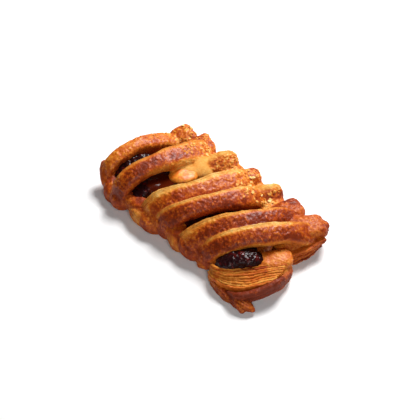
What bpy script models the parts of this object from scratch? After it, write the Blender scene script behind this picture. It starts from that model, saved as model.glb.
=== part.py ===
"""Lattice danish pastry with a dark cherry filling and a spot of custard.

Frame: metres, +Z up, origin on the resting plane under the middle of the pastry.
+X runs along the pastry towards its layered end, +Y across it towards the edge with the lobes.
The dough is laid out as arched strips and rounded lobes over a base. Each starts as a sphere
primitive that is drawn out along a path. They are fused, given their relief, stood on a flat
underside and hollowed for the filling that runs through them.
"""

import math

import bmesh
import bpy
import numpy as np
from mathutils import Vector, noise

# Driving dimensions, in millimetres.
MM = 0.001
STRIP_THICKNESS = 9.0
FILLING_GAP = 0.4
FUSE_VOXEL = 0.9
SOFTENING_PASSES = 3
FLOOR_BLOCK = (300, 300, 50)

# An arched strip climbs steeply to its crest, a share of the way across, and falls gently beyond.
# A strip may have its own steepness and gentleness; these are for the others.
CREST_SHARE = 0.42
STEEPNESS = 2.3
GENTLENESS = 2.2

# Section of a drawn-out bar: 2 is an ellipse, more is squarer. Bluntness does the same to its ends.
SQUARENESS = 3.0
BAR_BLUNTNESS = 3.0
STRIP_BLUNTNESS = 4.0

# A layer at a cut end is this much thicker than the rise to the next one, so that they fuse.
LAYER_FULLNESS = 1.15

# Crags: height and size of the coarse ones, then the fine ones as shares of the coarse.
DOUGH_CRAGS = (0.7, 5.0)
JAM_LUMPS = (0.5, 4.0)
FINE_HEIGHT_SHARE = 0.5
FINE_SIZE_SHARE = 0.43

# About how many triangles each finished solid has before its cuts.
DOUGH_TRIANGLES = 8400
FILLING_TRIANGLES = 1100
CUSTARD_TRIANGLES = 260

# Colour and roughness of each solid.
FINISHES = {
    "pastry": ((0.60, 0.27, 0.09), 0.5),
    "cherry_filling": ((0.07, 0.012, 0.012), 0.2),
    "custard": ((0.86, 0.56, 0.20), 0.35),
}

# Strips run from a foot on the near side (-Y), over the filling, to a tip at the far side.
# foot and tip are (x, y, z) of the centre line, top is the crest of the crust, widths are at
# foot, crest and tip, bow moves the middle along +X, and roll leans the crust towards +X.
STRIPS = (
    {"foot": (-64, -27, 5), "tip": (-53, 32, 6), "top": 24.5, "widths": (9, 9.5, 14), "bow": -2.5, "roll": 10,
     "steepness": 3.0, "gentleness": 1.25},
    {"foot": (-47, -33, 4), "tip": (-30, 32, 12), "top": 27.5, "widths": (13, 12, 23), "bow": 0.5, "roll": 16},
    {"foot": (-22, -31, 4), "tip": (5, 33, 11), "top": 26.0, "widths": (15, 14.5, 20), "bow": 4.5, "roll": 18},
    {"foot": (-9, -31, 4), "tip": (21, 30, 9), "top": 26.5, "widths": (15, 12, 17), "bow": 4, "roll": 20},
    {"foot": (9, -31, 4), "tip": (43, 29, 10), "top": 26.0, "widths": (17, 13, 13), "bow": 5, "roll": 20},
    {"foot": (22, -29, 4), "tip": (61, 28, 9), "top": 26.0, "widths": (14, 13, 17), "bow": 4, "roll": 22},
)

# Lobes and walls: path points, then full widths and heights at the two ends of the path.
FAR_LOBES = (
    {"path": ((-58, 20, 8), (-55, 29, 10.5), (-53, 37, 11)), "widths": (14, 21), "heights": (12, 14)},
    {"path": ((-43, 22, 11), (-38, 31, 11), (-37, 38, 10)), "widths": (17, 20), "heights": (15, 15)},
    {"path": ((-25, 14, 12), (-19, 29, 12), (-15, 38, 10)), "widths": (12, 18), "heights": (14, 15)},
    {"path": ((-5, 18, 11), (2, 30, 11), (3, 38, 9)), "widths": (14, 16), "heights": (14, 15)},
    {"path": ((13, 18, 11), (20, 30, 10), (24, 39, 9)), "widths": (14, 18), "heights": (14, 15)},
    {"path": ((34, 14, 12), (40, 28, 12.5), (40, 38, 9)), "widths": (16, 19), "heights": (14, 14)},
    {"path": ((48, 14, 13), (56, 28, 13.5), (61, 35, 11)), "widths": (18, 17), "heights": (8, 9)},
    {"path": ((56, 30, 11.5), (61, 34, 10.5), (64, 33.5, 9)), "widths": (13, 10), "heights": (8, 7)},
)

# Along the near edge each strip runs down over the edge and spreads.
NEAR_LOBES = (
    {"path": ((-62, -24, 8), (-55, -31, 5), (-48, -34, 4)), "widths": (11, 10), "heights": (13, 10)},
    {"path": ((-54, -28, 9), (-46, -33, 6), (-38, -31, 4)), "widths": (13, 11), "heights": (11, 10)},
    {"path": ((-38, -28, 6), (-30, -32, 6.5), (-20, -32.5, 5)), "widths": (12, 13), "heights": (11, 12)},
    {"path": ((-27, -27, 10), (-18, -31, 6.5), (-9, -30, 4)), "widths": (15, 13), "heights": (11, 11)},
    {"path": ((-14, -26, 10), (-8, -29, 6.5), (-2, -28, 4)), "widths": (12, 10), "heights": (10, 10)},
    {"path": ((-3, -27, 7), (4, -30, 5.5), (12, -31, 4)), "widths": (11, 11), "heights": (13, 10)},
    {"path": ((5, -26, 10), (14, -29.5, 6.5), (22, -29, 4)), "widths": (14, 12), "heights": (11, 10)},
    {"path": ((17, -25, 10), (25, -27.5, 6.5), (32, -29, 4)), "widths": (12, 10), "heights": (10, 9)},
)

# Left end and its corner, near side, far ridge, base, near edge below the last slit, pale slope
# beside the custard, glazed patch, core of the cut face, dark band outside it, skin of its near
# corner, and the torn flap with its two tips.
WALLS = (
    {"path": ((-61, -24, 8), (-65.5, -4, 9), (-61, 26, 6)), "widths": (9, 13), "heights": (14, 12)},
    {"path": ((-59, -30, 5), (-64, -26, 11), (-67.5, -20, 16)), "widths": (10, 8), "heights": (10, 8)},
    {"path": ((-50, -29.5, 7), (-20, -29, 8), (5, -27.5, 8), (30, -26, 7)), "widths": (12, 12), "heights": (12, 12)},
    {"path": ((-56, 24, 6), (-20, 27, 8), (20, 26, 8), (52, 24, 8)), "widths": (18, 20), "heights": (12, 13)},
    {"path": ((-66, -1, 3), (-30, 0, 3), (5, 1, 3), (35, 0, 3), (58, -3, 3)), "widths": (64, 64), "heights": (11, 10)},
    {"path": ((29, -24, 5), (41, -30, 5), (56, -32, 4)), "widths": (13, 12), "heights": (12, 9)},
    {"path": ((-32, 3, 12), (-27, 14, 14.5), (-20, 25, 14)), "widths": (12, 18), "heights": (9, 9)},
    {"path": ((49, -9, 9), (57, -5, 10.2), (62, 6, 10.2)), "widths": (10, 18), "heights": (7, 7)},
    {"path": ((44, -31, 4), (53, -23, 6.5), (60, -12, 7), (64, 2, 6.5)), "widths": (15, 18), "heights": (10, 12)},
    {"path": ((52, -38, 5), (60, -36, 6.5), (66, -28, 7.5), (69.5, -17, 8.5), (70, -9, 9)), "widths": (4.5, 5),
     "heights": (7, 9.5)},
    {"path": ((37, -35.5, 3), (46, -38, 3), (56, -39, 2.5)), "widths": (4, 4), "heights": (8, 6)},
    {"path": ((46, -34, 2), (58, -35, 3), (67, -35, 2)), "widths": (10, 10), "heights": (4, 5)},
    {"path": ((60, -35, 3.5), (66, -36.5, 2.8), (71.5, -35.5, 1.5)), "widths": (9, 2.2), "heights": (5, 1.6)},
    {"path": ((58, -35, 4), (62, -37.5, 3), (66, -39.2, 1.2)), "widths": (8, 3), "heights": (5, 1.8)},
)

# Ridges of the cut face, whose layers stand on edge from the last slit outwards.
CUT_FACE = (
    {"path": ((42, -35.5, 3), (43.5, -33, 8), (49, -26, 11.5), (58, -14, 12.3), (66, -3, 11.5)),
     "widths": (4.6, 4.6), "heights": (6, 6)},
    {"path": ((48, -36.5, 3), (49, -34, 8), (54, -28, 11), (62, -17, 11.7), (68, -7, 11)),
     "widths": (4.6, 4.6), "heights": (6, 6)},
    {"path": ((54, -37, 3), (55, -35, 7.5), (59, -29.5, 10.5), (65, -20, 11.1), (68.8, -11, 10.5)),
     "widths": (4.6, 4.6), "heights": (6, 6)},
)

# The broken end under the tongue, whose layers lie flat: a path at the foot, the rise from one
# layer to the next, and how far out from the path each layer lies.
LAYERED_ENDS = (
    {
        "path": ((51, 2), (58, 18), (63, 34)),
        "foot": 2.0, "rise": 3.2, "steps": (0.4, 0.6, -0.4, -1.6), "widths": (12, 14),
    },
)

FILLING = (
    {
        "path": ((-64, -10, 10), (-30, -9, 9.5), (0, -8, 10.5), (30, -10, 10.5), (50, -17, 9)),
        "widths": (30, 28), "heights": (15, 13),
    },
    {"path": ((-39, -30, 9), (-35, -17, 12.2), (-30, -6, 12.5)), "widths": (13, 11), "heights": (8, 9)},
    {"path": ((37, -27, 9), (47, -20, 10.5), (56, -11, 10.5)), "widths": (9, 9), "heights": (9, 10)},
    {"path": ((-58, -27, 10), (-57, -14, 14.5), (-53, 0, 16.5)), "widths": (9, 10), "heights": (8, 8)},
)
CUSTARD = (
    {"path": ((-27, -5, 15), (-25.5, 1.5, 16.5), (-23, 9, 16.5)), "widths": (11, 13), "heights": (7, 8)},
    {"path": ((-23, -5, 15), (-21, 1, 16), (-19, 6, 16)), "widths": (7, 8), "heights": (6, 7)},
)


def path_point(points, share):
    """Point on a smooth curve through the points, at a share from 0 to 1."""
    last = len(points) - 1
    at = min(max(share, 0.0), 1.0) * last
    i = min(int(at), last - 1)
    u = at - i
    p1, p2 = points[i], points[i + 1]
    p0 = points[i - 1] if i > 0 else 2 * p1 - p2
    p3 = points[i + 2] if i + 2 <= last else 2 * p2 - p1
    return 0.5 * (
        2 * p1
        + (p2 - p0) * u
        + (2 * p0 - 5 * p1 + 4 * p2 - p3) * u**2
        + (3 * p1 - p0 - 3 * p2 + p3) * u**3
    )


def arch_points(strip, count=13):
    """Centre line that leaves the foot upright, crests over the filling and falls gently to the tip."""
    foot, tip = Vector(strip["foot"]), Vector(strip["tip"])
    sideways = Vector((1, 0, 0)) * strip["bow"]
    crest_z = strip["top"] - STRIP_THICKNESS / 2
    power = 2 / strip.get("steepness", STEEPNESS)
    stations = []
    for i in range(count):
        angle = math.pi / 2 * i / (count - 1)
        across = CREST_SHARE * (1 - max(math.cos(angle), 0.0) ** power)
        rise = math.sin(angle) ** power
        stations.append((across, foot.z + (crest_z - foot.z) * rise))
    for i in range(1, count):
        beyond = i / (count - 1)
        fall = 1 - beyond ** strip.get("gentleness", GENTLENESS)
        stations.append((CREST_SHARE + (1 - CREST_SHARE) * beyond, tip.z + (crest_z - tip.z) * fall))
    points = []
    for share, height in stations:
        point = foot.lerp(tip, share) + sideways * math.sin(math.pi * share)
        point.z = height
        points.append(point)
    return points


def spread(values, share):
    """Value at a share of a piece's length, from two or three values at even stations."""
    return float(np.interp(share, np.linspace(0, 1, len(values)), values))


def squared(x):
    """Cosine or sine of a circle, turned into that of the squarer section."""
    return math.copysign(abs(x) ** (2 / SQUARENESS), x)


def drawn_out(name, points, widths, heights, roll=0.0, bluntness=BAR_BLUNTNESS, rings=28, sides=20):
    """A sphere primitive drawn out along a path into a rounded bar with blunt ends."""
    step = 0.5 / rings
    points = [Vector(p) for p in points]
    chord = points[-1] - points[0]
    across = Vector((chord.y, -chord.x, 0)).normalized()
    lean = math.radians(roll)
    shape = bmesh.new()
    bmesh.ops.create_uvsphere(shape, u_segments=sides, v_segments=rings, radius=1)
    for vert in shape.verts:
        x, y, z = vert.co
        share = (1 + z) / 2
        tangent = path_point(points, share + step) - path_point(points, share - step)
        up = across.cross(tangent).normalized()
        side = across * math.cos(lean) - up * math.sin(lean)
        top = up * math.cos(lean) + across * math.sin(lean)
        ring = max(math.hypot(x, y), 1e-6)
        girth = (1 - min(abs(z), 1.0) ** bluntness) ** (1 / bluntness)
        half_width = girth * spread(widths, share) / 2
        half_height = girth * spread(heights, share) / 2
        vert.co = (
            path_point(points, share)
            + side * squared(x / ring) * half_width
            + top * squared(y / ring) * half_height
        ) * MM
    mesh = bpy.data.meshes.new(name)
    shape.to_mesh(mesh)
    shape.free()
    piece = bpy.data.objects.new(name, mesh)
    bpy.context.scene.collection.objects.link(piece)
    return piece


def applied(piece):
    """The piece with its modifiers made part of its mesh."""
    graph = bpy.context.evaluated_depsgraph_get()
    mesh = bpy.data.meshes.new_from_object(piece.evaluated_get(graph))
    piece.modifiers.clear()
    piece.data = mesh
    return piece


def fused(name, pieces):
    """Overlapping pieces melted into one skin."""
    with bpy.context.temp_override(
        active_object=pieces[0], object=pieces[0], selected_editable_objects=pieces, selected_objects=pieces
    ):
        bpy.ops.object.join()
    whole = pieces[0]
    whole.name = name
    whole.data.name = name
    remesh = whole.modifiers.new("fuse", "REMESH")
    remesh.mode = "VOXEL"
    remesh.voxel_size = FUSE_VOXEL * MM
    soften = whole.modifiers.new("soften", "SMOOTH")
    soften.iterations = SOFTENING_PASSES
    return applied(whole)


def roughened(piece, crags):
    """Crags and blisters pushed out of the surface along its normals."""
    height, size = crags
    mesh = piece.data
    shifts = []
    for vert in mesh.vertices:
        at = vert.co / (size * MM)
        coarse = noise.noise(at)
        fine = noise.noise(at / FINE_SIZE_SHARE)
        shifts.append(vert.normal * (coarse + FINE_HEIGHT_SHARE * fine) * height * MM)
    for vert, shift in zip(mesh.vertices, shifts):
        vert.co += shift
    mesh.update()
    return piece


def thinned(piece, triangles):
    """The piece with about this many triangles."""
    thin = piece.modifiers.new("thin", "DECIMATE")
    thin.ratio = triangles / (2 * len(piece.data.polygons))
    thin.use_collapse_triangulate = True
    return applied(piece)


def cut_by(piece, cutter):
    """The piece with the cutter's shape taken out of it."""
    cut = piece.modifiers.new("cut", "BOOLEAN")
    cut.operation = "DIFFERENCE"
    cut.object = cutter
    return applied(piece)


def swollen_copy(piece, gap):
    """A copy of the piece grown outwards by the gap, used to cut its bed."""
    copy = bpy.data.objects.new(piece.name + "_bed", piece.data.copy())
    bpy.context.scene.collection.objects.link(copy)
    swell = copy.modifiers.new("swell", "DISPLACE")
    swell.strength = gap * MM
    swell.mid_level = 0.0
    return applied(copy)


def floor_block():
    """Block whose top is the resting plane."""
    bpy.ops.mesh.primitive_cube_add(size=1)
    block = bpy.context.active_object
    block.scale = Vector(FLOOR_BLOCK) * MM
    block.location = (0, 0, -block.scale.z / 2)
    bpy.context.view_layer.update()
    return block


def bars(prefix, rows):
    return [
        drawn_out(f"{prefix}_{i}", row["path"], row["widths"], row["heights"])
        for i, row in enumerate(rows)
    ]


def strips():
    made = []
    thickness = (STRIP_THICKNESS, STRIP_THICKNESS)
    for i, strip in enumerate(STRIPS):
        points, widths, roll = arch_points(strip), strip["widths"], strip["roll"]
        made.append(drawn_out(f"strip_{i}", points, widths, thickness, roll, STRIP_BLUNTNESS, rings=48))
    return made


def layered_end(name, end):
    """Thin bars stacked on one path, each stepped out by its own amount."""
    path = [Vector((x, y, 0)) for x, y in end["path"]]
    chord = (path[-1] - path[0]).normalized()
    outward = Vector((chord.y, -chord.x, 0))
    layers = []
    for i, step in enumerate(end["steps"]):
        height = Vector((0, 0, end["foot"] + i * end["rise"]))
        points = [point + outward * step + height for point in path]
        thickness = end["rise"] * LAYER_FULLNESS
        layers.append(drawn_out(f"{name}_{i}", points, end["widths"], (thickness, thickness)))
    return layers


def finished(piece, collection):
    """Gives the piece its own Principled material and its place in the object's collection."""
    colour, roughness = FINISHES[piece.name]
    bpy.context.scene.collection.objects.unlink(piece)
    collection.objects.link(piece)
    material = bpy.data.materials.new(piece.name)
    material.use_nodes = True
    shader = material.node_tree.nodes["Principled BSDF"]
    shader.inputs["Base Color"].default_value = (*colour, 1)
    shader.inputs["Roughness"].default_value = roughness
    shader.inputs["Metallic"].default_value = 0.0
    piece.data.materials.clear()
    piece.data.materials.append(material)


def cherry_filling():
    filling = fused("cherry_filling", bars("filling", FILLING))
    return thinned(roughened(filling, JAM_LUMPS), FILLING_TRIANGLES)


def custard(filling_bed):
    lump = fused("custard", bars("custard_bar", CUSTARD))
    return cut_by(thinned(lump, CUSTARD_TRIANGLES), filling_bed)


def pastry(cutters):
    pieces = strips() + bars("far_lobe", FAR_LOBES) + bars("near_lobe", NEAR_LOBES)
    pieces += bars("wall", WALLS) + bars("cut_face", CUT_FACE)
    for i, end in enumerate(LAYERED_ENDS):
        pieces += layered_end(f"layered_end_{i}", end)
    dough = thinned(roughened(fused("pastry", pieces), DOUGH_CRAGS), DOUGH_TRIANGLES)
    for cutter in cutters:
        dough = cut_by(dough, cutter)
    return dough


def main():
    for obj in list(bpy.data.objects):
        bpy.data.objects.remove(obj)
    filling = cherry_filling()
    filling_bed = swollen_copy(filling, FILLING_GAP)
    lump = custard(filling_bed)
    lump_bed = swollen_copy(lump, FILLING_GAP)
    floor = floor_block()
    dough = pastry((floor, filling_bed, lump_bed))
    for cutter in (floor, filling_bed, lump_bed):
        bpy.data.objects.remove(cutter)
    collection = bpy.data.collections.new("danish_pastry")
    bpy.context.scene.collection.children.link(collection)
    for piece in (dough, filling, lump):
        finished(piece, collection)


main()
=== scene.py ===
import math

import bmesh
import bpy
import numpy as np
from mathutils import Matrix, Vector, noise


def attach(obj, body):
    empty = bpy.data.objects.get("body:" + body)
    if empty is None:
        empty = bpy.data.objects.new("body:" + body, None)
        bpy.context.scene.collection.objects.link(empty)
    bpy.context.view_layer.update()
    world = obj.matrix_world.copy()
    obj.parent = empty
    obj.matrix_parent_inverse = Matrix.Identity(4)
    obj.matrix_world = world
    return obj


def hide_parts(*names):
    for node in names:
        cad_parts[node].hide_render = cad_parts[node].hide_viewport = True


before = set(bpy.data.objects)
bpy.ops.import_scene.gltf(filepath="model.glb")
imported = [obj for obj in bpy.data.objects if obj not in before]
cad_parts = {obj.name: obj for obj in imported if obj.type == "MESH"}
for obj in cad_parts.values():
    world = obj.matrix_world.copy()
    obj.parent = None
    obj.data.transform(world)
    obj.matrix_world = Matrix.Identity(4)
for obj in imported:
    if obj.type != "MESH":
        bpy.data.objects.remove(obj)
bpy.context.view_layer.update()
mm = 0.001
print("frame loaded:", sorted(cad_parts))


# Node maths

class Value:
    # a node's output, so that maths on sockets reads as plain expressions
    def __init__(self, bench, socket):
        self.bench = bench
        self.socket = socket

    def part(self, name):
        return Value(self.bench, self.socket.node.outputs[name])

    def maths(self, operation, first, second=0.0):
        return self.bench.node("ShaderNodeMath", {"operation": operation}, {0: first, 1: second})

    def __add__(self, other):
        return self.maths("ADD", self, other)

    def __radd__(self, other):
        return self.maths("ADD", other, self)

    def __sub__(self, other):
        return self.maths("SUBTRACT", self, other)

    def __rsub__(self, other):
        return self.maths("SUBTRACT", other, self)

    def __mul__(self, other):
        return self.maths("MULTIPLY", self, other)

    def __rmul__(self, other):
        return self.maths("MULTIPLY", other, self)

    def __truediv__(self, other):
        return self.maths("DIVIDE", self, other)

    def __rtruediv__(self, other):
        return self.maths("DIVIDE", other, self)

    def atLeast(self, other):
        return self.maths("MAXIMUM", self, other)

    def atMost(self, other):
        return self.maths("MINIMUM", self, other)

    def wave(self):
        return self.maths("SINE", self)

    def clipped(self):
        return self.atLeast(0.0).atMost(1.0)

    def step(self, low, high):
        # 0 below low, 1 above high, smooth between them
        ends = {"Value": self, "From Min": low, "From Max": high}
        return self.bench.node("ShaderNodeMapRange", {"interpolation_type": "SMOOTHSTEP"}, ends)


class Bench:
    # builds one node tree, shader or geometry
    def __init__(self, tree):
        self.tree = tree

    def node(self, kind, settings=None, sockets=None, out=0):
        made = self.tree.nodes.new(kind)
        for name, setting in (settings or {}).items():
            if name == "stops":
                self.fillRamp(made.color_ramp, setting)
            else:
                setattr(made, name, setting)
        for name, value in (sockets or {}).items():
            if isinstance(value, Value):
                self.tree.links.new(value.socket, made.inputs[name])
            else:
                made.inputs[name].default_value = value
        return Value(self, made.outputs[out]) if made.outputs else made

    def fillRamp(self, ramp, stops):
        while len(ramp.elements) < len(stops):
            ramp.elements.new(1.0)
        for element, (place, colour) in zip(ramp.elements, stops):
            element.position = place
            element.color = (*colour, 1)

    def noise(self, place, size, detail=3.0, roughness=0.55):
        sockets = {"Vector": place, "Scale": 1 / size, "Detail": detail, "Roughness": roughness}
        return self.node("ShaderNodeTexNoise", {}, sockets)

    def cells(self, place, size, feature="SMOOTH_F1"):
        return self.node("ShaderNodeTexVoronoi", {"feature": feature}, {"Vector": place, "Scale": 1 / size})

    def scaled(self, vector, number):
        return self.node("ShaderNodeVectorMath", {"operation": "SCALE"}, {"Vector": vector, "Scale": number})

    def moved(self, vector, offset):
        return self.node("ShaderNodeVectorMath", {"operation": "ADD"}, {0: vector, 1: offset})

    def stretched(self, vector, factors):
        return self.node("ShaderNodeVectorMath", {"operation": "MULTIPLY"}, {0: vector, 1: factors})

    def blend(self, factor, first, second):
        return self.node("ShaderNodeMix", {"data_type": "RGBA"}, {0: factor, 6: first, 7: second}, out=2)


def linear(red, green, blue):
    # a colour as a screen shows it, 0 to 255, as the light values that the shader works in
    shares = [channel / 255 for channel in (red, green, blue)]
    return tuple(s / 12.92 if s <= 0.04045 else ((s + 0.055) / 1.055) ** 2.4 for s in shares)


def geometryBench(name, inputs):
    tree = bpy.data.node_groups.new(name, "GeometryNodeTree")
    tree.interface.new_socket("Geometry", in_out="INPUT", socket_type="NodeSocketGeometry")
    tree.interface.new_socket("Geometry", in_out="OUTPUT", socket_type="NodeSocketGeometry")
    for inputName, (kind, start) in inputs.items():
        socket = tree.interface.new_socket(inputName, in_out="INPUT", socket_type="NodeSocket" + kind)
        if start is not None:
            socket.default_value = start
    bench = Bench(tree)
    return bench, bench.node("NodeGroupInput")


def endTree(bench, given, geometry):
    # every tree ends in real mesh with its finish on it
    real = bench.node("GeometryNodeRealizeInstances", {}, {"Geometry": geometry})
    finished = bench.node("GeometryNodeSetMaterial", {}, {"Geometry": real, "Material": given.part("Finish")})
    bench.node("NodeGroupOutput", {}, {"Geometry": finished})
    return bench.tree


def restingOnFloor(bench, geometry):
    # what would reach below the floor is pressed flat on it
    corner = bench.node("ShaderNodeSeparateXYZ", {}, {0: bench.node("GeometryNodeInputPosition")})
    resting = bench.node("ShaderNodeCombineXYZ", {}, {
        "X": corner, "Y": corner.part("Y"), "Z": corner.part("Z").atLeast(0.0),
    })
    return bench.node("GeometryNodeSetPosition", {}, {"Geometry": geometry, "Position": resting})


def runTree(piece, tree, values):
    modifier = piece.modifiers.new(tree.name, "NODES")
    modifier.node_group = tree
    for item in tree.interface.items_tree:
        if item.in_out == "INPUT" and item.name in values:
            modifier[item.identifier] = values[item.name]
    return piece


def applied(piece, name=None):
    # the evaluated piece as a plain mesh object at the origin, with no modifiers
    graph = bpy.context.evaluated_depsgraph_get()
    mesh = bpy.data.meshes.new_from_object(piece.evaluated_get(graph))
    made = bpy.data.objects.new(name or piece.name, mesh)
    bpy.context.scene.collection.objects.link(made)
    bpy.data.objects.remove(piece)
    mesh.shade_smooth()
    return made


def joined(pieces):
    with bpy.context.temp_override(
        active_object=pieces[0], object=pieces[0], selected_editable_objects=pieces, selected_objects=pieces
    ):
        bpy.ops.object.join()
    return pieces[0]


def delivered(piece, node):
    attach(piece, "root")
    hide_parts(node)
    triangles = sum(len(face.vertices) - 2 for face in piece.data.polygons)
    print(f"{piece.name}: {triangles} triangles")


# Finishes

bakeColours = (   # from raw dough to the darkest crust
    (0.00, linear(242, 208, 138)),
    (0.15, linear(234, 175, 88)),
    (0.35, linear(216, 134, 46)),
    (0.55, linear(192, 94, 20)),
    (0.75, linear(150, 54, 8)),
    (0.90, linear(100, 31, 5)),
    (1.00, linear(60, 17, 4)),
)
crustFinish = {
    "overall": 0.08, "darkest": 0.86,           # added to every bake, and its limit
    "patchSize": 9.0, "patchDepth": 0.26,       # broad lighter and darker areas
    "smoothDark": 0.06,                         # how much darker the smooth patches are
    "flakeAndHighlightPaleness": 0.30,                      # blisters painted paler where the strips end at the far side: pale lifted flakes, and a painted highlight where these ends face the key light
    "mottleSize": 3.4, "mottleDepth": 0.26,
    "fleckSize": 1.8, "fleckGold": 0.19,        # small golden flecks between the smooth dark patches
    "blisterGold": 0.15,                        # how much less baked a blister looks
    "layerPitch": 1.1, "layerContrast": 0.34,
    "glazedRoughness": 0.40, "dryRoughness": 0.70,
    "coatRoughness": 0.24, "coatWeight": 0.11, "shine": 0.17,
    "bumpDepth": 0.00030,
}
jamFinish = {
    "flesh": linear(34, 9, 11), "juice": linear(78, 9, 6), "syrup": linear(70, 17, 2),
    "wetRoughness": 0.20, "dullRoughness": 0.5, "shine": 0.12, "pitSize": 0.9,
}
custardFinish = {"pale": linear(238, 152, 48), "baked": linear(208, 108, 18), "spotSize": 3.0}


def newMaterial(name):
    material = bpy.data.materials.new(name)
    material.use_nodes = True
    material.node_tree.nodes.clear()
    return material, Bench(material.node_tree)


def closeMaterial(bench, sockets):
    shader = bench.node("ShaderNodeBsdfPrincipled", {}, sockets)
    bench.node("ShaderNodeOutputMaterial", {}, {"Surface": shader})


def readAttribute(bench, name, out="Vector"):
    return bench.node("ShaderNodeAttribute", {"attribute_name": name}, {}, out=out)


def crustMaterial():
    look = crustFinish
    material, bench = newMaterial("browned crust")
    place = bench.scaled(bench.node("ShaderNodeTexCoord", {}, {}, out="Object"), 1 / mm)
    skin = bench.node("ShaderNodeSeparateXYZ", {}, {0: readAttribute(bench, "skin")})
    bake, layers, gloss = skin, skin.part("Y"), skin.part("Z")
    grain = readAttribute(bench, "grain")
    relief = readAttribute(bench, "relief", "Fac")
    blister = readAttribute(bench, "blister", "Fac")

    broad = bench.noise(place, look["patchSize"], detail=2.0)
    smoothDark = broad.step(0.52, 0.66)
    mottle = bench.noise(place, look["mottleSize"], detail=5.0, roughness=0.7) - 0.5
    fine = bench.noise(place, look["fleckSize"], detail=4.0, roughness=0.7)
    fleck = fine.step(0.47, 0.62) * (1 - smoothDark * 0.75) * (0.35 + gloss * 0.65)
    around = bench.node("ShaderNodeSeparateXYZ", {}, {0: grain}).part("Y")
    wander = bench.noise(place, 4.0, detail=2.0) * 9.0
    line = (around * (2 * math.pi / look["layerPitch"]) + wander).wave()
    corner = bench.node("ShaderNodeSeparateXYZ", {}, {0: place})
    # the far ends of the strips, left of the layered end, where blisters are painted paler: partly pale flakes, partly
    # a painted highlight
    flakyHighlitEnds = corner.part("Y").step(8.0, 24.0) * (1 - corner.step(10.0, 38.0))
    baked = (
        bake
        + look["overall"]
        + (broad - 0.5) * look["patchDepth"]
        + smoothDark * look["smoothDark"]
        + mottle * look["mottleDepth"]
        + line * layers * (0.3 + bench.noise(place, 6.0, detail=2.0).step(0.38, 0.62) * 0.7) * look["layerContrast"] / 2
        - fleck * look["fleckGold"]
        - blister * (look["blisterGold"] + flakyHighlitEnds * look["flakeAndHighlightPaleness"])
        # crag tops are painted paler and crag pits darker: painted light and shade on the relief
        - relief * 0.12
    )
    limited = baked.atLeast(0.0).atMost(look["darkest"])
    colour = bench.node("ShaderNodeValToRGB", {"stops": bakeColours}, {"Fac": limited})
    worn = (gloss + mottle * 0.7).clipped()
    dryness = look["dryRoughness"] - look["glazedRoughness"]
    roughness = look["dryRoughness"] - worn * dryness - fleck * 0.08
    height = fine * 1.6 + mottle * 1.5 + line * layers * 0.7
    bump = bench.node("ShaderNodeBump", {}, {"Height": height, "Strength": 0.7, "Distance": look["bumpDepth"]})
    closeMaterial(bench, {
        "Base Color": colour, "Roughness": roughness, "Normal": bump,
        "Coat Weight": worn * look["coatWeight"], "Coat Roughness": look["coatRoughness"],
        "Specular IOR Level": look["shine"],
        "Subsurface Weight": 0.08, "Subsurface Radius": (1.0, 0.4, 0.12), "Subsurface Scale": 0.0012,
    })
    return material


def jamMaterial():
    look = jamFinish
    material, bench = newMaterial("cherry jam")
    place = bench.scaled(bench.node("ShaderNodeTexCoord", {}, {}, out="Object"), 1 / mm)
    syrup = readAttribute(bench, "syrup", "Fac")
    juicy = bench.noise(place, 3.0, detail=3.0).step(0.52, 0.7)
    pits = bench.noise(place, look["pitSize"], detail=3.0)
    flesh = bench.blend(juicy, (*look["flesh"], 1), (*look["juice"], 1))
    colour = bench.blend(syrup, flesh, (*look["syrup"], 1))
    rough = pits.step(0.45, 0.7) * (1 - syrup)
    roughness = look["wetRoughness"] + rough * (look["dullRoughness"] - look["wetRoughness"])
    height = pits * (1 - syrup)
    bump = bench.node("ShaderNodeBump", {}, {"Height": height, "Strength": 0.6, "Distance": 0.0003})
    closeMaterial(bench, {
        "Base Color": colour, "Roughness": roughness, "Normal": bump, "Specular IOR Level": look["shine"],
        "Coat Weight": 0.12, "Coat Roughness": 0.06,
    })
    return material


def custardMaterial():
    look = custardFinish
    material, bench = newMaterial("baked custard")
    place = bench.scaled(bench.node("ShaderNodeTexCoord", {}, {}, out="Object"), 1 / mm)
    spots = bench.noise(place, look["spotSize"], detail=3.0)
    colour = bench.blend(spots.step(0.38, 0.62), (*look["pale"], 1), (*look["baked"], 1))
    bump = bench.node("ShaderNodeBump", {}, {"Height": bench.noise(place, 0.9), "Strength": 0.4, "Distance": 0.0002})
    closeMaterial(bench, {
        "Base Color": colour, "Roughness": 0.34 + spots * 0.2, "Normal": bump,
        "Subsurface Weight": 0.25, "Subsurface Radius": (1.0, 0.7, 0.3), "Subsurface Scale": 0.002,
    })
    return material


# Shapes that are drawn out along a path

def pathPoint(points, share):
    # a smooth curve through the points, at a share from 0 to 1
    last = len(points) - 1
    at = min(max(share, 0.0), 1.0) * last
    i = min(int(at), last - 1)
    u = at - i
    p1, p2 = points[i], points[i + 1]
    p0 = points[i - 1] if i > 0 else 2 * p1 - p2
    p3 = points[i + 2] if i + 2 <= last else 2 * p2 - p1
    return 0.5 * (
        2 * p1
        + (p2 - p0) * u
        + (2 * p0 - 5 * p1 + 4 * p2 - p3) * u**2
        + (3 * p1 - p0 - 3 * p2 + p3) * u**3
    )


def spread(values, share):
    # a value at a share of the length, from values at even stations, or one for the whole length
    if not isinstance(values, tuple):
        return values
    return float(np.interp(share, np.linspace(0, 1, len(values)), values))


def squared(x, squareness):
    return math.copysign(abs(x) ** (2 / squareness), x)


barShape = {
    "squareness": 3.0, "bluntness": 3.0, "rings": 56, "sides": 56,
    "sway": 0.9, "swayLength": 17.0, "swell": 0.09, "swellLength": 11.0,   # how uneven by hand, in mm
    "swayOffsets": (0.5, 31.5, 62.5),           # where the sway's three directions are read
}


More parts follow.
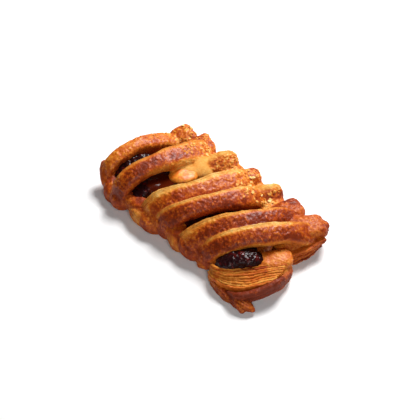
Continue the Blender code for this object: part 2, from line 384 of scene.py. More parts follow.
def drawnOut(name, points, widths, heights, paint, roll=0.0, bluntness=barShape["bluntness"]):
    # a sphere drawn out along a path into a rounded bar; paint gives each place its bake, layers,
    # gloss and swelling from the angle round the bar (0 its right side, 90 its top) and the share
    rings, sides, squareness = barShape["rings"], barShape["sides"], barShape["squareness"]
    step = 0.5 / rings
    points = [Vector(p) for p in points]
    chord = points[-1] - points[0]
    across = Vector((chord.y, -chord.x, 0)).normalized()
    seed = sum(ord(letter) * (7.3 + i) for i, letter in enumerate(name)) % 97
    shape = bmesh.new()
    bmesh.ops.create_uvsphere(shape, u_segments=sides, v_segments=rings, radius=1)
    skins, grains = [], []
    for vert in shape.verts:
        x, y, z = vert.co
        share = (1 + z) / 2
        tangent = pathPoint(points, share + step) - pathPoint(points, share - step)
        up = across.cross(tangent).normalized()
        lean = math.radians(spread(roll, share))
        side = across * math.cos(lean) - up * math.sin(lean)
        top = up * math.cos(lean) + across * math.sin(lean)
        ring = max(math.hypot(x, y), 1e-6)
        girth = (1 - min(abs(z), 1.0) ** bluntness) ** (1 / bluntness)
        angle = math.degrees(math.atan2(y, x)) % 360
        bake, layers, gloss, swelling = paint(angle, share)
        at = share * chord.length
        sway = Vector([
            noise.noise((at / barShape["swayLength"], seed, offset)) for offset in barShape["swayOffsets"]
        ]) * barShape["sway"]
        fuller = 1 + barShape["swell"] * 2 * noise.noise((at / barShape["swellLength"], seed, 9))
        halfWidth = girth * (spread(widths, share) / 2 * fuller + swelling)
        halfHeight = girth * (spread(heights, share) / 2 + swelling)
        vert.co = (
            pathPoint(points, share) + sway
            + side * squared(x / ring, squareness) * halfWidth
            + top * squared(y / ring, squareness) * halfHeight
        ) * mm
        skins.append((bake, layers, gloss))
        grains.append((share * chord.length, math.radians(angle) * (halfWidth + halfHeight) * 0.6, seed))
    mesh = bpy.data.meshes.new(name)
    shape.to_mesh(mesh)
    shape.free()
    for attributeName, rows in (("skin", skins), ("grain", grains)):
        attribute = mesh.attributes.new(attributeName, "FLOAT_VECTOR", "POINT")
        attribute.data.foreach_set("vector", np.array(rows, np.float32).ravel())
    piece = bpy.data.objects.new(name, mesh)
    bpy.context.scene.collection.objects.link(piece)
    return piece


# Strips: each leaves its foot on the near side, arches over the filling and ends in a tip at the
# far side. top is the height of its crest, bow moves its middle towards the layered end, roll
# leans its crust that way. dark, side and lip are how baked the crust, the slit side and the cut
# edge look, at even stations from the foot to the tip.

stripRules = {
    "thickness": 9.0, "crestShare": 0.42, "steepness": 2.3, "gentleness": 2.2, "bluntness": 4.0,
    "lipAngle": 137.0, "lipHeight": 0.7,
}
strips = (
    {
        "foot": (-64, -27, 5), "tip": (-53, 32, 6), "top": 24.5, "widths": (9, 9.5, 14), "bow": -2.5, "roll": 10,
        "steepness": 3.0, "gentleness": 1.25, "dark": (0.58, 0.54, 0.54, 0.56), "side": (0.64, 0.60, 0.60, 0.62),
        "lip": (0.5, 0.44, 0.40), "paleFoot": 0,
    },
    {
        "foot": (-47, -33, 4), "tip": (-30, 32, 12), "top": 27.5, "widths": (13, 12, 23), "bow": 0.5, "roll": 16,
        "dark": (0.82, 0.80, 0.64, 0.58), "side": (0.74, 0.50, 0.20, 0.24), "lip": (0.5, 0.36, 0.34, 0.40),
        "paleFoot": (0, 10, 12, 6), "paleSide": (0, 4, 24, 32),
    },
    {
        "foot": (-22, -31, 4), "tip": (5, 33, 11), "top": 26.0, "widths": (15, 14.5, 20), "bow": 4.5, "roll": 18,
        "dark": (0.66, 0.70, 0.66, 0.58), "side": (0.66, 0.60, 0.56, 0.56), "lip": (0.44, 0.14, 0.12, 0.34),
        "paleFoot": (44, 22, 14, 6),
    },
    {
        "foot": (-9, -31, 4), "tip": (21, 30, 9), "top": 26.5, "widths": (15, 11, 17), "bow": 3.6, "roll": 20,
        "dark": (0.76, 0.82, 0.74, 0.54), "side": (0.76, 0.72, 0.66, 0.62), "lip": (0.46, 0.22, 0.18, 0.36),
        "paleFoot": (4, 16, 10, 2),
    },
    {
        "foot": (10.5, -31, 4), "tip": (43, 27, 12.5), "top": 26.0, "widths": (17, 13, 12), "bow": 5, "roll": 20,
        "steepness": 1.9, "dark": (0.68, 0.78, 0.84, 0.84), "side": (0.70, 0.68, 0.66, 0.74), "lip": (0.44, 0.26, 0.26, 0.55),
        "paleFoot": (46, 18, 8, 0),
    },
    {
        "foot": (24, -29, 4), "tip": (61, 28, 9), "top": 26.0, "widths": (14, 13, 17), "bow": 4, "roll": 22,
        "steepness": 1.8, "dark": (0.76, 0.80, 0.76, 0.70), "side": (0.62, 0.36, 0.32, 0.42), "lip": (0.46, 0.12, 0.12, 0.5),
        "paleFoot": (4, 18, 14, 0),
    },
)


def archPoints(strip, count=13):
    rules = stripRules
    foot, tip = Vector(strip["foot"]), Vector(strip["tip"])
    sideways = Vector((1, 0, 0)) * strip["bow"]
    crestZ = strip["top"] - rules["thickness"] / 2
    stations = []
    power = 2 / strip.get("steepness", rules["steepness"])
    for i in range(count):
        angle = math.pi / 2 * i / (count - 1)
        across = rules["crestShare"] * (1 - max(math.cos(angle), 0.0) ** power)
        rise = math.sin(angle) ** power
        stations.append((across, foot.z + (crestZ - foot.z) * rise))
    for i in range(1, count):
        beyond = i / (count - 1)
        fall = 1 - beyond ** strip.get("gentleness", rules["gentleness"])
        across = rules["crestShare"] + (1 - rules["crestShare"]) * beyond
        stations.append((across, tip.z + (crestZ - tip.z) * fall))
    points = []
    for share, height in stations:
        point = foot.lerp(tip, share) + sideways * math.sin(math.pi * share)
        point.z = height
        points.append(point)
    return points


def stripPaint(strip):
    lipAngle = stripRules["lipAngle"]

    def paint(angle, share):
        dark, side, lip, pale = (spread(strip[key], share) for key in ("dark", "side", "lip", "paleFoot"))
        edge = lipAngle - pale     # where the crust ends and the cut dough begins
        low = spread(strip.get("paleSide", 0), share)
        # from the lip on the left and from the right side, the bake rises down towards the underside: painted shade
        # where the strip arches over the slit
        angles = (0, 22 + low, 42 + low, 66 + low, edge - 18, edge - 4, lipAngle + 6, 158, 200, 250, 300, 335, 360)
        bakes = (side, side + 0.05, dark - 0.04, dark + 0.04, dark - 0.05, lip, lip, lip + 0.12, lip + 0.2, 0.55,
                 side + 0.12, side + 0.06, side)
        bake = float(np.interp(angle, angles, bakes))
        layers = float(np.interp(angle, (0, 30, 50, edge - 6, edge + 6, 230, 300, 360),
                                 (0.35, 0.25, 0, 0, 1, 1, 0.4, 0.35)))
        gloss = float(np.interp(angle, (0, 25, 55, edge - 8, edge, 360), (0.3, 0.6, 1, 1, 0.1, 0.3)))
        swelling = stripRules["lipHeight"] * math.exp(-((angle - lipAngle) / 8) ** 2)
        return bake, layers, gloss, swelling

    return paint


def stripPieces():
    made = []
    thickness = stripRules["thickness"]
    for i, strip in enumerate(strips):
        made.append(drawnOut(
            f"strip{i}", archPoints(strip), strip["widths"], thickness, stripPaint(strip), strip["roll"],
            stripRules["bluntness"],
        ))
    return made


# Lobes and walls: path, full widths and heights at the ends of the path, how baked the top is,
# and how pale and layered the left side is (cut, 0 where it is crust like the rest).

lobes = (
    # far edge, from the left end to the tongue and its dark tip
    {"path": ((-58, 20, 8), (-55, 29, 10.5), (-53, 37, 11)), "widths": (14, 21), "heights": (12, 14), "dark": 0.60},
    {"path": ((-43, 22, 11), (-38, 31, 11), (-37, 38, 10)), "widths": (17, 20), "heights": (15, 15), "dark": 0.58},
    {"path": ((-25, 14, 12), (-19, 29, 12), (-15, 38, 10)), "widths": (12, 18), "heights": (14, 15), "dark": 0.60,
     "side": 0.52, "cut": 0.9, "roll": 40},
    {"path": ((-5, 18, 11), (2, 30, 11), (3, 38, 9)), "widths": (14, 16), "heights": (14, 15), "dark": 0.66},
    {"path": ((13, 18, 11), (20, 30, 10), (24, 39, 9)), "widths": (14, 18), "heights": (14, 15), "dark": 0.72,
     "side": 0.6, "cut": 0.9, "roll": 42},
    {"path": ((33, 14, 10), (38, 28, 10.5), (40, 38, 8.5)), "widths": (15, 18), "heights": (12, 13), "dark": 0.66},
    {"path": ((48, 14, 13), (56, 28, 13.5), (61, 35, 11)), "widths": (18, 17), "heights": (8, 9), "dark": 0.60},
    {"path": ((56, 30, 11.5), (61, 34, 10.5), (64, 33.5, 9)), "widths": (13, 10), "heights": (8, 7), "dark": 0.70},
    # near edge: where each strip runs down over the edge. The darker bake of these lobes is partly their real bake and
    # partly painted shade on this side, which faces away from the key light
    {"path": ((-62, -24, 8), (-55, -31, 5), (-48, -34, 4)), "widths": (11, 10), "heights": (13, 10), "dark": 0.70},
    {"path": ((-54, -28, 9), (-46, -33, 6), (-38, -31, 4)), "widths": (13, 11), "heights": (11, 10), "dark": 0.72},
    {"path": ((-26, -22, 11), (-31, -28.5, 7), (-35, -32, 4)), "widths": (6, 13), "heights": (6, 8), "dark": 0.36,
     "layers": 0.5},
    {"path": ((-35, -31, 4.5), (-28, -32, 6), (-18, -32, 5)), "widths": (11, 13), "heights": (9, 13), "dark": 0.40,
     "layers": 0.5},
    {"path": ((-27, -27, 10), (-18, -31, 6.5), (-9, -30, 4)), "widths": (15, 13), "heights": (11, 11), "dark": 0.68},
    {"path": ((-14, -26, 10), (-8, -29, 6.5), (-2, -28, 4)), "widths": (12, 10), "heights": (10, 10), "dark": 0.74},
    {"path": ((-5, -24, 9), (3, -28.5, 7), (12, -31, 4)), "widths": (13, 13), "heights": (13, 10), "dark": 0.44,
     "layers": 0.5},
    {"path": ((5, -26, 10), (14, -29.5, 6.5), (22, -29, 4)), "widths": (14, 12), "heights": (11, 10), "dark": 0.72},
    {"path": ((17, -25, 10), (25, -27.5, 6.5), (32, -29, 4)), "widths": (12, 10), "heights": (10, 9), "dark": 0.74},
)
walls = (
    # left end and its corner, near side behind the feet, far ridge, base
    {"path": ((-61, -24, 8), (-65.5, -4, 9), (-61, 26, 6)), "widths": (9, 13), "heights": (14, 12), "dark": 0.66},
    {"path": ((-59, -30, 5), (-65, -27.5, 10.5), (-70.5, -24, 16)), "widths": (10, 7), "heights": (10, 7),
     "dark": 0.58},
    {"path": ((-50, -29.5, 7), (-20, -29, 8), (5, -27.5, 8), (30, -26, 7)), "widths": (12, 12), "heights": (12, 12),
     "dark": 0.66},
    {"path": ((-56, 24, 6), (-20, 27, 8), (20, 26, 8), (52, 24, 8)), "widths": (18, 20), "heights": (12, 13),
     "dark": 0.4},
    {"path": ((-66, -1, 3), (-30, 0, 3), (5, 1, 3), (35, 0, 3), (58, -3, 3)), "widths": (64, 64), "heights": (11, 10),
     "dark": 0.6},
    # near edge below the last slit, pale slope beside the custard, glazed patch
    {"path": ((29, -24, 5), (41, -30, 5), (56, -32, 4)), "widths": (13, 12), "heights": (12, 9), "dark": 0.50,
     "layers": 0.3},
    {"path": ((-35, -1, 15.5), (-28, 9, 16), (-19, 22, 14)), "widths": (11, 19), "heights": (7, 9), "dark": 0.18,
     "layers": 0.0, "gloss": 0.0, "roll": 28},
    {"path": ((50.5, -13, 10.8), (57.5, -6, 12.3), (63, 5, 11.4)), "widths": (10, 17), "heights": (7, 7.5),
     "dark": 0.5},
    # core of the cut face, the dark band outside it, the skin of the near corner, torn flap and its tips
    {"path": ((44, -31.5, 3.5), (54, -24, 5), (61.5, -13.5, 6), (65, 2, 6.5)), "widths": (16, 20), "heights": (9, 12),
     "dark": 0.5, "side": 0.74, "layers": 0.5},
    {"path": ((52, -38, 5), (60, -36, 6.5), (66, -28, 7.5), (69.5, -17, 8.5), (70, -9, 9)), "widths": (4.5, 5),
     "heights": (7, 9.5), "dark": 0.9, "side": 0.9, "layers": 0.4, "gloss": 0.75},
    {"path": ((37, -35.5, 3), (46, -38, 3), (56, -39, 2.5)), "widths": (4, 4), "heights": (8, 6), "dark": 0.62,
     "layers": 0.9},
    {"path": ((46, -34, 2), (58, -35, 3), (66, -34.5, 2.5)), "widths": (10, 10), "heights": (5, 6), "dark": 0.76,
     "layers": 0.5},
    {"path": ((58, -34.5, 4.5), (65.5, -35.5, 3.8), (71.5, -34.5, 2)), "widths": (9, 3), "heights": (6, 2.6),
     "dark": 0.66, "layers": 0.6},
    {"path": ((56, -35.5, 5), (62, -37.5, 3.5), (66.5, -39.4, 1.3)), "widths": (9, 3.5), "heights": (7, 2.2),
     "dark": 0.72, "layers": 0.6},
)


def barPaint(row):
    dark, cut, layers = row["dark"], row.get("cut", 0.0), row.get("layers", 0.15)
    side = row.get("side", dark)
    pale = dark + (0.14 - dark) * cut

    def paint(angle, share):
        bakes = (side, side, dark, dark, pale, pale, dark, side)
        bake = float(np.interp(angle, (0, 35, 60, 108, 126, 215, 270, 360), bakes))
        lined = float(np.interp(angle, (0, 108, 128, 215, 250, 360), (layers, layers, cut, cut, layers, layers)))
        gloss = float(np.interp(angle, (0, 50, 108, 126, 360), (0.35, 0.8, 0.8, 0.2, 0.35))) * row.get("gloss", 1.0)
        return bake, max(lined, layers), gloss, 0.0

    return paint


def barPieces(prefix, rows):
    return [
        drawnOut(f"{prefix}{i}", row["path"], row["widths"], row["heights"], barPaint(row), row.get("roll", 0.0))
        for i, row in enumerate(rows)
    ]


# Layered ends: bars stacked on one path, each moved outwards by its own step

layeredEnds = (
    {
        "path": ((51, 2), (56.5, 17), (59, 31)), "foot": 2.0, "rise": 3.2, "fullness": 1.15,
        "steps": (-2.0, -0.6, 0.0, 0.0), "widths": (12, 13), "darks": (0.8, 0.7, 0.6, 0.55),
        "sides": (0.84, 0.74, 0.6, 0.55),
    },
)


def layeredPieces():
    made = []
    for number, end in enumerate(layeredEnds):
        path = [Vector((x, y, 0)) for x, y in end["path"]]
        chord = (path[-1] - path[0]).normalized()
        outward = Vector((chord.y, -chord.x, 0))
        for i, (step, dark, side) in enumerate(zip(end["steps"], end["darks"], end["sides"])):
            height = Vector((0, 0, end["foot"] + i * end["rise"]))
            points = [point + outward * step + height for point in path]
            paint = barPaint({"dark": dark, "side": side, "layers": 0.6})
            thickness = end["rise"] * end["fullness"]
            made.append(drawnOut(f"layeredEnd{number}_{i}", points, end["widths"], thickness, paint))
    return made


# Dough: all of them fused into one skin, given its relief and its flat underside

dough = {
    "voxel": 0.5, "softening": 8, "triangles": 190000,
    "Crag height": 0.7, "Crag size": 5.0, "Far crag": 1.1, "Blister height": 0.32, "Blister size": 2.0,
    "Layer height": 0.5, "Layer pitch": 1.9, "Soft edges": 3,
}


def reliefTree():
    lengths = {name: ("Float", dough[name]) for name in (
        "Crag height", "Crag size", "Far crag", "Blister height", "Blister size", "Layer height", "Layer pitch",
    )}
    bench, given = geometryBench("dough relief", {
        "Unfused pieces": ("Object", None), **lengths, "Soft edges": ("Int", 3), "Finish": ("Material", None),
    })
    source = bench.node("GeometryNodeObjectInfo", {}, {"Object": given.part("Unfused pieces")}, out="Geometry")
    geometry = given
    for name in ("skin", "grain"):
        field = bench.node("GeometryNodeInputNamedAttribute", {"data_type": "FLOAT_VECTOR"}, {"Name": name})
        sampled = bench.node(
            "GeometryNodeSampleNearestSurface", {"data_type": "FLOAT_VECTOR"}, {"Mesh": source, "Value": field}
        )
        geometry = bench.node(
            "GeometryNodeStoreNamedAttribute", {"data_type": "FLOAT_VECTOR", "domain": "POINT"},
            {"Geometry": geometry, "Name": name, "Value": sampled},
        )
    # the browning of one piece runs softly into that of the next
    sharp = bench.node("GeometryNodeInputNamedAttribute", {"data_type": "FLOAT_VECTOR"}, {"Name": "skin"})
    soft = bench.node("GeometryNodeBlurAttribute", {"data_type": "FLOAT_VECTOR"}, {
        "Value": sharp, "Iterations": given.part("Soft edges"),
    })
    geometry = bench.node(
        "GeometryNodeStoreNamedAttribute", {"data_type": "FLOAT_VECTOR", "domain": "POINT"},
        {"Geometry": geometry, "Name": "skin", "Value": soft},
    )
    place = bench.scaled(bench.node("GeometryNodeInputPosition"), 1 / mm)
    fields = {}
    for name in ("skin", "grain"):
        field = bench.node("GeometryNodeInputNamedAttribute", {"data_type": "FLOAT_VECTOR"}, {"Name": name})
        fields[name] = bench.node("ShaderNodeSeparateXYZ", {}, {0: field})
    layers, gloss = fields["skin"].part("Y"), fields["skin"].part("Z")
    around = fields["grain"].part("Y")

    crag = bench.node("ShaderNodeTexNoise", {}, {
        "Vector": place, "Scale": 1 / given.part("Crag size"), "Detail": 5.0, "Roughness": 0.6,
    }) - 0.5
    far = bench.node("ShaderNodeSeparateXYZ", {}, {0: place}).part("Y").step(14.0, 28.0)
    roughness = given.part("Crag height") * (1 + far * given.part("Far crag")) * (0.4 + gloss.step(0.0, 0.3) * 0.6)
    blob = bench.node("ShaderNodeTexNoise", {}, {
        "Vector": place, "Scale": 1 / given.part("Blister size"), "Detail": 4.0, "Roughness": 0.7,
    })
    grit = bench.noise(place, 1.2, detail=2.0).step(0.5, 0.7)
    patches = bench.noise(place, 8.0, detail=2.0).step(0.36, 0.6)
    blister = (blob.step(0.48, 0.62) * (0.3 + patches * 0.7) + grit * 0.5) * gloss.step(0.1, 0.7)
    wander = bench.noise(place, 5.0, detail=2.0) * 7.0
    merged = bench.noise(place, 6.0, detail=2.0).step(0.38, 0.62)     # where neighbouring layers run together
    ridge = (around / given.part("Layer pitch") * (2 * math.pi) + wander).wave() * layers * (0.15 + merged * 0.4)
    height = (
        crag * 2.0 * roughness
        + blister * given.part("Blister height")
        + ridge * given.part("Layer height")
    )
    for name, value in (("relief", crag * 2.0), ("blister", blister)):
        geometry = bench.node(
            "GeometryNodeStoreNamedAttribute", {"data_type": "FLOAT", "domain": "POINT"},
            {"Geometry": geometry, "Name": name, "Value": value},
        )
    raised = bench.scaled(bench.node("GeometryNodeInputNormal"), height * mm)
    geometry = bench.node("GeometryNodeSetPosition", {}, {"Geometry": geometry, "Offset": raised})
    return endTree(bench, given, restingOnFloor(bench, geometry))


def makeDough(finish):
    source = joined(
        stripPieces() + barPieces("lobe", lobes) + barPieces("wall", walls) + layeredPieces()
    )
    source.name = "unfusedDough"
    body = bpy.data.objects.new("doughBody", source.data.copy())
    bpy.context.scene.collection.objects.link(body)
    remesh = body.modifiers.new("fuse", "REMESH")
    remesh.mode = "VOXEL"
    remesh.voxel_size = dough["voxel"] * mm
    soften = body.modifiers.new("soften", "SMOOTH")
    soften.iterations = dough["softening"]
    body = applied(body)
    print("dough fused:", len(body.data.polygons), "faces")
    runTree(body, reliefTree(), {
        "Unfused pieces": source, "Finish": finish,
        **{name: value for name, value in dough.items() if name[0].isupper()},
    })
    thin = body.modifiers.new("thin", "DECIMATE")
    thin.ratio = min(1.0, dough["triangles"] / (2 * len(body.data.polygons)))
    body = applied(body, "latticeDough")
    bpy.data.objects.remove(source)
    return body


# Loose layers: thin sheets that stand or lie side by side along a path

sheetStacks = (
    {   # the cut face, whose layers stand on edge from the last slit outwards
        "name": "cutFaceLayers", "path": ((35, -32.5, 8), (39, -32.5, 9.8), (46, -28, 10.6), (53, -19.5, 11),
                                          (60, -10, 12), (66, -2, 12)),
        "Count": 9, "Start step": (0.0, -0.35, -0.55), "Middle step": (0.45, -0.45, -0.1),
        "End step": (0.65, -1.2, -0.25), "Sheet width": 1.2, "Sheet height": 5.5, "Ruffle": 1.1,
        "Ruffle length": 12.0, "Uneven": 1.0, "End trim": 0.012, "Seed": 3.0, "Bake": 0.36, "Bake spread": 0.44,
    },
    {   # the broken end under the tongue, whose layers lie nearly flat
        "name": "brokenEndLayers", "path": ((56, 1, 1.2), (60.5, 15, 2.4), (62.5, 29, 5.0)),
        "Count": 7, "Start step": (-0.1, 0.0, 1.45), "Middle step": (0.0, 0.0, 0.0), "End step": (0.15, 0.1, 1.0),
        "Sheet width": 9.0, "Sheet height": 0.8, "Ruffle": 1.0, "Ruffle length": 6.0, "Uneven": 0.4,
        "End trim": 0.0, "Seed": 8.0, "Bake": 0.52, "Bake spread": 0.6,
    },
)


def sheetTree():
    bench, given = geometryBench("stacked layers", {
        "Count": ("Int", 6), "Start step": ("Vector", (0, 0, 1)), "Middle step": ("Vector", (0, 0, 0)),
        "End step": ("Vector", (0, 0, 1)), "Sheet width": ("Float", 1.0),
        "Sheet height": ("Float", 1.0), "Ruffle": ("Float", 0.5), "Ruffle length": ("Float", 6.0),
        "Uneven": ("Float", 0.5), "End trim": ("Float", 0.0), "Seed": ("Float", 0.0), "Bake": ("Float", 0.5), "Bake spread": ("Float", 0.2),
        "Finish": ("Material", None),
    })
    copies = bench.node("GeometryNodeDuplicateElements", {"domain": "SPLINE"},
                        {"Geometry": given, "Amount": given.part("Count")})
    number = copies.part("Duplicate Index")
    trimmed = bench.node("GeometryNodeTrimCurve", {}, {"Curve": copies, "End": 1 - number * given.part("End trim")})
    even = bench.node("GeometryNodeResampleCurve", {}, {"Curve": trimmed, "Count": 70})
    place = bench.scaled(bench.node("GeometryNodeInputPosition"), 1 / mm)
    turn = number * 3.7 + given.part("Seed")
    wander = bench.node("ShaderNodeTexNoise", {"noise_dimensions": "4D"}, {
        "Vector": place, "W": turn, "Scale": 1 / given.part("Ruffle length"), "Detail": 3.0,
    }, out="Color")
    centred = bench.moved(wander, (-0.5, -0.5, -0.5))
    along = bench.node("GeometryNodeSplineParameter")
    ends = bench.moved(
        bench.scaled(given.part("Start step"), 1 - along), bench.scaled(given.part("End step"), along),
    )
    # the middle step is what the middle is moved by beyond the mean of the ends
    step = bench.moved(ends, bench.scaled(given.part("Middle step"), along * (1 - along) * 4.0))
    shift = bench.moved(
        bench.scaled(step, number * mm), bench.scaled(centred, given.part("Ruffle") * (3 * mm)),
    )
    stacked = bench.node("GeometryNodeSetPosition", {}, {"Geometry": even, "Offset": shift})
    upright = bench.node("GeometryNodeSetCurveNormal", {"mode": "Z_UP"}, {"Curve": stacked})
    tone = bench.node("FunctionNodeRandomValue", {"data_type": "FLOAT"}, {"ID": number, "Seed": 5}, out=1)
    bake = given.part("Bake") + (tone - 0.5) * given.part("Bake spread")
    skin = bench.node("ShaderNodeCombineXYZ", {}, {"X": bake, "Y": 0.25, "Z": 0.3})
    painted = bench.node("GeometryNodeStoreNamedAttribute", {"data_type": "FLOAT_VECTOR", "domain": "POINT"},
                         {"Geometry": upright, "Name": "skin", "Value": skin})
    swell = bench.node("ShaderNodeTexNoise", {"noise_dimensions": "4D"}, {
        "Vector": place, "W": turn + 20.0, "Scale": 0.2, "Detail": 2.0,
    }) - 0.5
    varied = bench.node("GeometryNodeSetCurveRadius", {}, {
        "Curve": painted, "Radius": 1 + (swell * 1.5 + (tone - 0.5) * 0.5) * given.part("Uneven"),
    })
    outline = bench.node("GeometryNodeCurvePrimitiveQuadrilateral", {}, {
        "Width": given.part("Sheet width") * mm, "Height": given.part("Sheet height") * mm,
    })
    rounded = bench.node("GeometryNodeResampleCurve", {}, {"Curve": outline, "Count": 24})
    swept = bench.node("GeometryNodeCurveToMesh", {}, {"Curve": varied, "Profile Curve": rounded, "Fill Caps": True})
    surface = bench.scaled(bench.node("GeometryNodeInputPosition"), 1 / mm)
    ragged = (bench.noise(surface, 1.6, detail=3.0) - 0.5) * given.part("Ruffle") * mm
    raised = bench.scaled(bench.node("GeometryNodeInputNormal"), ragged)
    torn = bench.node("GeometryNodeSetPosition", {}, {"Geometry": swept, "Offset": raised})
    return endTree(bench, given, restingOnFloor(bench, torn))


def pathCurve(name, points):
    curve = bpy.data.curves.new(name, "CURVE")
    curve.dimensions = "3D"
    spline = curve.splines.new("POLY")
    count = 40
    spline.points.add(count - 1)
    corners = [Vector(p) for p in points]
    for i, point in enumerate(spline.points):
        point.co = (*(pathPoint(corners, i / (count - 1)) * mm), 1)
    piece = bpy.data.objects.new(name, curve)
    bpy.context.scene.collection.objects.link(piece)
    return piece


def makeSheets(finish):
    tree = sheetTree()
    made = []
    for stack in sheetStacks:
        path = pathCurve(stack["name"] + "Path", stack["path"])
        runTree(path, tree, {"Finish": finish, **{n: v for n, v in stack.items() if n[0].isupper()}})
        made.append(applied(path, stack["name"]))
    return made


# Flakes: thin pale scales of the glaze and top layer that lift off where the strips end

flakes = {
    "Density": 0.34, "Flake size": 2.0, "Flake height": 0.5, "Lean": 0.3, "Bake": 0.34, "Seed": 4,
}


def flakeTree():
    bench, given = geometryBench("lifted flakes", {
        "Dough": ("Object", None), "Density": ("Float", 0.3), "Flake size": ("Float", 1.5),
        "Flake height": ("Float", 0.4), "Lean": ("Float", 0.3), "Bake": ("Float", 0.2), "Seed": ("Int", 0),
        "Finish": ("Material", None),
    })
    source = bench.node("GeometryNodeObjectInfo", {}, {"Object": given.part("Dough")}, out="Geometry")
    place = bench.scaled(bench.node("GeometryNodeInputPosition"), 1 / mm)
    corner = bench.node("ShaderNodeSeparateXYZ", {}, {0: place})
    facing = bench.node("ShaderNodeSeparateXYZ", {}, {0: bench.node("GeometryNodeInputNormal")}).part("Z")
    skin = bench.node("GeometryNodeInputNamedAttribute", {"data_type": "FLOAT_VECTOR"}, {"Name": "skin"})
    gloss = bench.node("ShaderNodeSeparateXYZ", {}, {0: skin}).part("Z")
    patches = bench.noise(place, 7.0, detail=2.0).step(0.48, 0.58)
    region = corner.part("Y").step(8.0, 20.0) * (1 - corner.step(20.0, 40.0))
    share = region * patches * facing.step(0.2, 0.6) * gloss.step(0.3, 0.7)
    points = bench.node("GeometryNodeDistributePointsOnFaces", {}, {
        "Mesh": source, "Density": share * given.part("Density") / mm**2, "Seed": given.part("Seed"),
    })
    scale = bench.node("GeometryNodeMeshIcoSphere", {}, {"Radius": 0.5 * mm, "Subdivisions": 3})
    wide, deep = (
        bench.node("FunctionNodeRandomValue", {"data_type": "FLOAT"}, {"Seed": seed}, out=1) * 0.9 + 0.4
        for seed in (1, 2)
    )
    size = bench.node("ShaderNodeCombineXYZ", {}, {
        "X": wide * given.part("Flake size"), "Y": deep * given.part("Flake size"), "Z": given.part("Flake height"),
    })
    placed = bench.node("GeometryNodeInstanceOnPoints", {}, {
        "Points": points, "Instance": scale, "Rotation": points.part("Rotation"), "Scale": size,
    })
    lean = bench.node("FunctionNodeRandomValue", {"data_type": "FLOAT_VECTOR"}, {
        0: (-1, -1, -8), 1: (1, 1, 8), "Seed": 3,
    })
    turned = bench.node("GeometryNodeRotateInstances", {}, {
        "Instances": placed, "Rotation": bench.scaled(lean, given.part("Lean")),
    })
    real = bench.node("GeometryNodeRealizeInstances", {}, {"Geometry": turned})
    tone = bench.node("ShaderNodeCombineXYZ", {}, {"X": given.part("Bake"), "Y": 0.0, "Z": 0.8})
    painted = bench.node("GeometryNodeStoreNamedAttribute", {"data_type": "FLOAT_VECTOR", "domain": "POINT"},
                         {"Geometry": real, "Name": "skin", "Value": tone})
    ragged = bench.scaled(bench.node("GeometryNodeInputNormal"), (bench.noise(place, 0.9) - 0.5) * mm)
    torn = bench.node("GeometryNodeSetPosition", {}, {"Geometry": painted, "Offset": ragged})
    return endTree(bench, given, torn)


def makeFlakes(body, finish):
    flaked = bpy.data.objects.new("flakeHolder", bpy.data.meshes.new("flakeHolder"))
    bpy.context.scene.collection.objects.link(flaked)
    runTree(flaked, flakeTree(), {"Dough": body, "Finish": finish, **flakes})
    return applied(flaked, "liftedFlakes")


# Cherry jam: one mass that shows in the slits, with lumps of fruit and a clear pool of syrup

jam = {
    "bars": (
        {"path": ((-64, -10, 10), (-30, -9, 9.5), (0, -8, 10.5), (30, -10, 10.5), (50, -17, 9)), "widths": (30, 28),
         "heights": (15, 13)},
        {"path": ((-39, -30, 9), (-35, -17, 12.2), (-30, -6, 12.5)), "widths": (13, 11), "heights": (8, 9)},
        {"path": ((36.5, -31, 10), (45, -20.5, 13.8), (54.5, -8.5, 12)), "widths": (12, 12), "heights": (10, 10)},
        {"path": ((-58, -27, 10), (-57, -14, 14.5), (-53, 0, 16.5)), "widths": (9, 10), "heights": (8, 8)},
    ),
    "voxel": 0.45, "triangles": 90000,
    "Lump height": 1.1, "Lump size": 3.0, "Grit height": 0.5, "Pool centre": (-31.0, -12.0, 17.0), "Pool reach": 9.5,
}


def plainPaint(angle, share):
    return 0.5, 0.0, 0.5, 0.0


def jamTree():
    bench, given = geometryBench("jam lumps", {
        "Lump height": ("Float", 1.0), "Lump size": ("Float", 3.0), "Grit height": ("Float", 0.3),
        "Pool centre": ("Vector", (0, 0, 0)), "Pool reach": ("Float", 8.0), "Finish": ("Material", None),
    })
    place = bench.scaled(bench.node("GeometryNodeInputPosition"), 1 / mm)
    away = bench.node("ShaderNodeVectorMath", {"operation": "DISTANCE"}, {0: place, 1: given.part("Pool centre")},
                      out="Value")
    edge = away + (bench.noise(place, 4.0) - 0.5) * 5.0
    syrup = 1 - bench.node("ShaderNodeMapRange", {"interpolation_type": "SMOOTHSTEP"}, {
        "Value": edge, "From Min": given.part("Pool reach") - 1.5, "From Max": given.part("Pool reach"),
    })
    cell = bench.node("ShaderNodeTexVoronoi", {"feature": "SMOOTH_F1"}, {
        "Vector": place, "Scale": 1 / given.part("Lump size"), "Smoothness": 0.25,
    })
    lump = 0.6 - cell
    grit = bench.noise(place, 0.9, detail=3.0) - 0.5
    height = (lump * given.part("Lump height") + grit * 2.0 * given.part("Grit height")) * (1 - syrup)
    geometry = bench.node(
        "GeometryNodeStoreNamedAttribute", {"data_type": "FLOAT", "domain": "POINT"},
        {"Geometry": given, "Name": "syrup", "Value": syrup},
    )
    raised = bench.scaled(bench.node("GeometryNodeInputNormal"), height * mm)
    geometry = bench.node("GeometryNodeSetPosition", {}, {"Geometry": geometry, "Offset": raised})
    return endTree(bench, given, geometry)


def fusedBars(name, rows, voxel):
    bars = [
        drawnOut(f"{name}{i}", row["path"], row["widths"], row["heights"], plainPaint, bluntness=2.2)
        for i, row in enumerate(rows)
    ]
    whole = joined(bars)
    remesh = whole.modifiers.new("fuse", "REMESH")
    remesh.mode = "VOXEL"
    remesh.voxel_size = voxel * mm
    soften = whole.modifiers.new("soften", "SMOOTH")
    soften.iterations = 3
    return applied(whole)


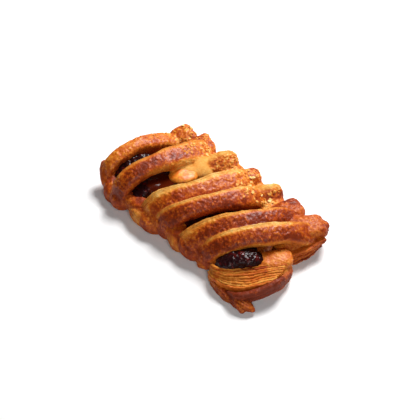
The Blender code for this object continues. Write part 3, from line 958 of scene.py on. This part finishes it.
def makeJam(finish):
    mass = fusedBars("jam", jam["bars"], jam["voxel"])
    runTree(mass, jamTree(), {"Finish": finish, **{n: v for n, v in jam.items() if n[0].isupper()}})
    thin = mass.modifiers.new("thin", "DECIMATE")
    thin.ratio = min(1.0, jam["triangles"] / (2 * len(mass.data.polygons)))
    return applied(mass, "cherryJam")


# Custard

custard = {
    "bars": (
        {"path": ((-33, -4.5, 14), (-27, 1, 15.4), (-20.5, 10, 15.2)), "widths": (11, 17), "heights": (6, 7.5)},
    ),
    "voxel": 0.35, "dent": 0.7, "dentSize": 5.0,
}


def makeCustard(finish):
    lump = fusedBars("custard", custard["bars"], custard["voxel"])
    texture = bpy.data.textures.new("custard dents", "CLOUDS")
    texture.noise_scale = custard["dentSize"] * mm
    dents = lump.modifiers.new("dents", "DISPLACE")
    dents.texture = texture
    dents.texture_coords = "LOCAL"
    dents.strength = custard["dent"] * mm
    lump.data.materials.clear()
    lump.data.materials.append(finish)
    return applied(lump, "custardSpot")


# Light, floor and camera

studio = {
    "azimuth": 45.6, "elevation": 47.0, "distance": 630.0, "lens": 90.0, "lookAt": (5.7, -5.9, 15.3),
    "keyDirection": (-0.20, 0.72, 0.95), "keyDistance": 700.0, "keySize": 280.0, "keyPower": 8.0,
    "fillDirection": (0.75, -0.55, 0.75), "fillDistance": 800.0, "fillSize": 350.0, "fillPower": 2.2,
    "skyBrightness": 0.05, "floorSize": 4000.0,
}


def aimed(thing, place, target):
    back = (place - target).normalized()
    right = Vector((0, 0, 1)).cross(back).normalized()
    up = back.cross(right)
    turn = Matrix((right, up, back)).transposed()
    thing.matrix_world = Matrix.Translation(place) @ turn.to_4x4()


def softbox(name, direction, distance, size, power):
    light = bpy.data.lights.new(name, "AREA")
    light.size = size * mm
    light.energy = power
    lamp = bpy.data.objects.new(name, light)
    bpy.context.scene.collection.objects.link(lamp)
    aimed(lamp, Vector(direction).normalized() * distance * mm, Vector((0, 0, 0)))


def makeStudio():
    scene = bpy.context.scene
    scene.view_settings.view_transform = "Standard"
    softbox("key", studio["keyDirection"], studio["keyDistance"], studio["keySize"], studio["keyPower"])
    softbox("fill", studio["fillDirection"], studio["fillDistance"], studio["fillSize"], studio["fillPower"])
    world = bpy.data.worlds.new("pale studio")
    world.use_nodes = True
    world.node_tree.nodes["Background"].inputs["Color"].default_value = (1, 1, 1, 1)
    world.node_tree.nodes["Background"].inputs["Strength"].default_value = studio["skyBrightness"]
    scene.world = world
    bpy.ops.mesh.primitive_plane_add(size=studio["floorSize"] * mm)
    floor = bpy.context.active_object
    floor.name = "paleFloor"
    material, bench = newMaterial("pale floor")
    closeMaterial(bench, {"Base Color": (0.92, 0.92, 0.92, 1), "Roughness": 0.9})
    floor.data.materials.append(material)
    lens = bpy.data.cameras.new("photoView")
    lens.lens = studio["lens"]
    lens.sensor_width = 36.0
    lens.clip_start = 0.01
    camera = bpy.data.objects.new("photoView", lens)
    scene.collection.objects.link(camera)
    azimuth, elevation = math.radians(studio["azimuth"]), math.radians(studio["elevation"])
    back = Vector((
        math.sin(azimuth) * math.cos(elevation), -math.cos(azimuth) * math.cos(elevation), math.sin(elevation),
    ))
    target = Vector(studio["lookAt"]) * mm
    aimed(camera, target + back * studio["distance"] * mm, target)
    scene.camera = camera


makeStudio()
crust = crustMaterial()
body = makeDough(crust)
for piece in (body, makeFlakes(body, crust), *makeSheets(crust)):
    delivered(piece, "pastry")
print("dough done")
delivered(makeJam(jamMaterial()), "cherry_filling")
delivered(makeCustard(custardMaterial()), "custard")
print("fillings done")
